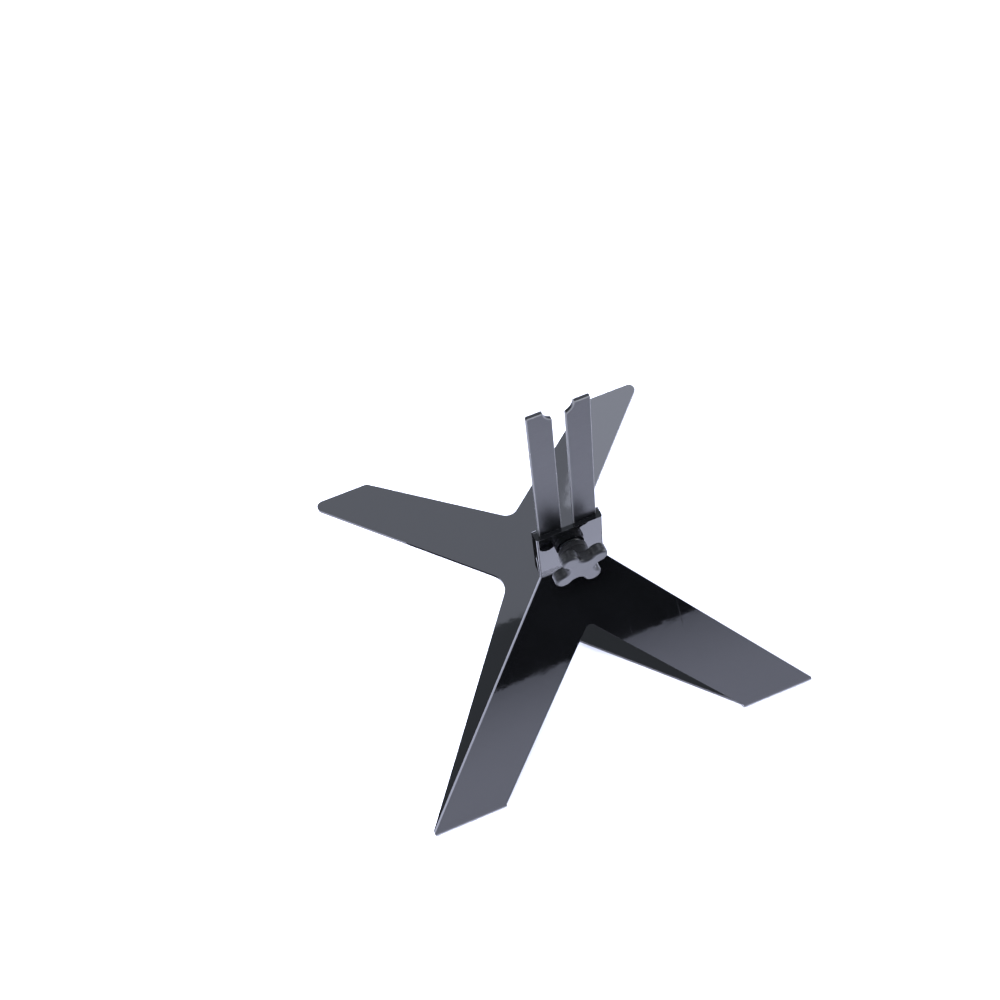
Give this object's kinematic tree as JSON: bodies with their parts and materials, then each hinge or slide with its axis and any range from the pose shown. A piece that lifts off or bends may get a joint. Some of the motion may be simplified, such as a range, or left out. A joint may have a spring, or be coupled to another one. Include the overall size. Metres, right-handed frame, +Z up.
{
  "type": "one-sided bike repair stand",
  "caption": "Low one-sided bike stand: folded steel base with clamped, height-adjustable slotted upright that holds the rear wheel's axle end.",
  "frame": {"origin": "on the floor under the middle of the base", "axes": "+Z up, +X to the right seen from the folded front, +Y from the folded front feet towards the rear feet and the wheel; the clamping bolt runs along Y"},
  "size_m": [0.3, 0.302, 0.334],
  "materials": {
    "black_powder_coat": "gloss black powder coat with slight orange peel",
    "black_powder_coat_bar": "gloss black powder coat, rubbed where it slides",
    "zinc_bolt": "bright zinc-plated steel",
    "zinc_washer": "bright zinc-plated steel",
    "black_plastic": "satin black moulded plastic with a fine texture",
    "brass_insert": "turned brass"
  },
  "bodies": {
    "stand": {"folded_stand": "black_powder_coat", "carriage_bolt": "zinc_bolt"},
    "upright": {"upright_bar": "black_powder_coat_bar"},
    "washer": {"flat_washer": "zinc_washer"},
    "knob": {"knob_body": "black_plastic", "knob_insert": "brass_insert"}
  },
  "joints": [
    {"name": "upright_height", "type": "slide", "parent": "stand", "child": "upright", "axis": [0, 0, 1], "range_m": [-0.1, 0.041]},
    {"name": "knob_travel", "type": "slide", "parent": "stand", "child": "washer", "axis": [0, -1, 0], "range_m": [0, 0.0025]},
    {"name": "knob_turn", "type": "hinge", "parent": "washer", "child": "knob", "pos_m": [0, -0.065, 0.177], "axis": [0, -1, 0], "range_deg": [0, 722]}
  ],
  "couplings": [
    {"joint": "knob_turn", "follows": "knob_travel", "rad_per_m": 5026.5}
  ]
}
